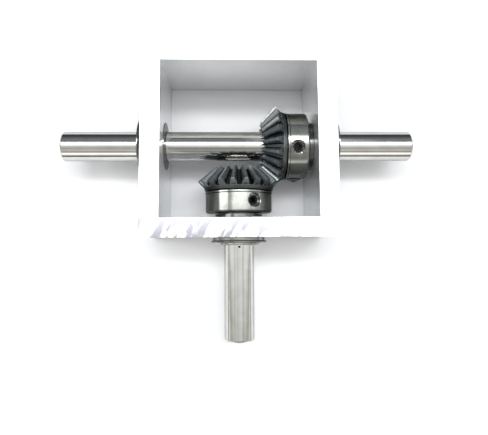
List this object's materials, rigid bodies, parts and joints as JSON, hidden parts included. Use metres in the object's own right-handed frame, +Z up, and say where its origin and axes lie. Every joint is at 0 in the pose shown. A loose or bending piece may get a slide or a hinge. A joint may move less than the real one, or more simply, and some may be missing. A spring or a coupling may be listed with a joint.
{
  "type": "bevel gear pair",
  "caption": "Right-angle drive: equal straight bevel gears on crossed shafts, running in flanged bushes in an open square frame.",
  "frame": {"origin": "centre of the footprint's bounding box, on the sawn face that the frame rests on", "axes": "+X along the cross shaft, -Y along the output shaft towards its free end, +Z up, square to both shafts"},
  "size_m": [0.1906, 0.1546, 0.05],
  "materials": {
    "frame_aluminium": "mill finish, sawn ends",
    "bush_steel": "fine turned",
    "washer_steel": "turned, semi-bright",
    "spacer_steel": "dark turned",
    "shaft_steel": "ground, semi-polished",
    "ring_steel": "bright spring steel",
    "gear_steel": "turned hub, darkened teeth",
    "screw_steel": "black oxide"
  },
  "bodies": {
    "housing": {"box_frame": "frame_aluminium", "left_bush": "bush_steel", "right_bush": "bush_steel", "output_bush": "bush_steel", "left_thrust_washer": "washer_steel", "right_thrust_washer": "washer_steel", "output_thrust_washer": "washer_steel", "left_shim": "washer_steel", "right_spacer": "spacer_steel", "output_spacer": "spacer_steel", "right_hub_washer": "washer_steel", "output_hub_washer": "washer_steel"},
    "cross_shaft_set": {"cross_shaft": "shaft_steel", "cross_gear": "gear_steel", "cross_gear_top_screw": "screw_steel", "cross_gear_side_screw": "screw_steel", "left_retaining_ring": "ring_steel", "right_retaining_ring": "ring_steel"},
    "output_shaft_set": {"output_shaft": "shaft_steel", "output_gear": "gear_steel", "output_gear_top_screw": "screw_steel", "output_gear_side_screw": "screw_steel", "output_retaining_ring": "ring_steel"}
  },
  "joints": [
    {"name": "cross_shaft_spin", "type": "hinge", "parent": "housing", "child": "cross_shaft_set", "pos_m": [0, 0.0273, 0.025], "axis": [1, 0, 0], "continuous": true},
    {"name": "output_shaft_spin", "type": "hinge", "parent": "housing", "child": "output_shaft_set", "pos_m": [0, 0.0273, 0.025], "axis": [0, 1, 0], "continuous": true}
  ],
  "couplings": [
    {"joint": "output_shaft_spin", "follows": "cross_shaft_spin", "ratio": 1}
  ]
}
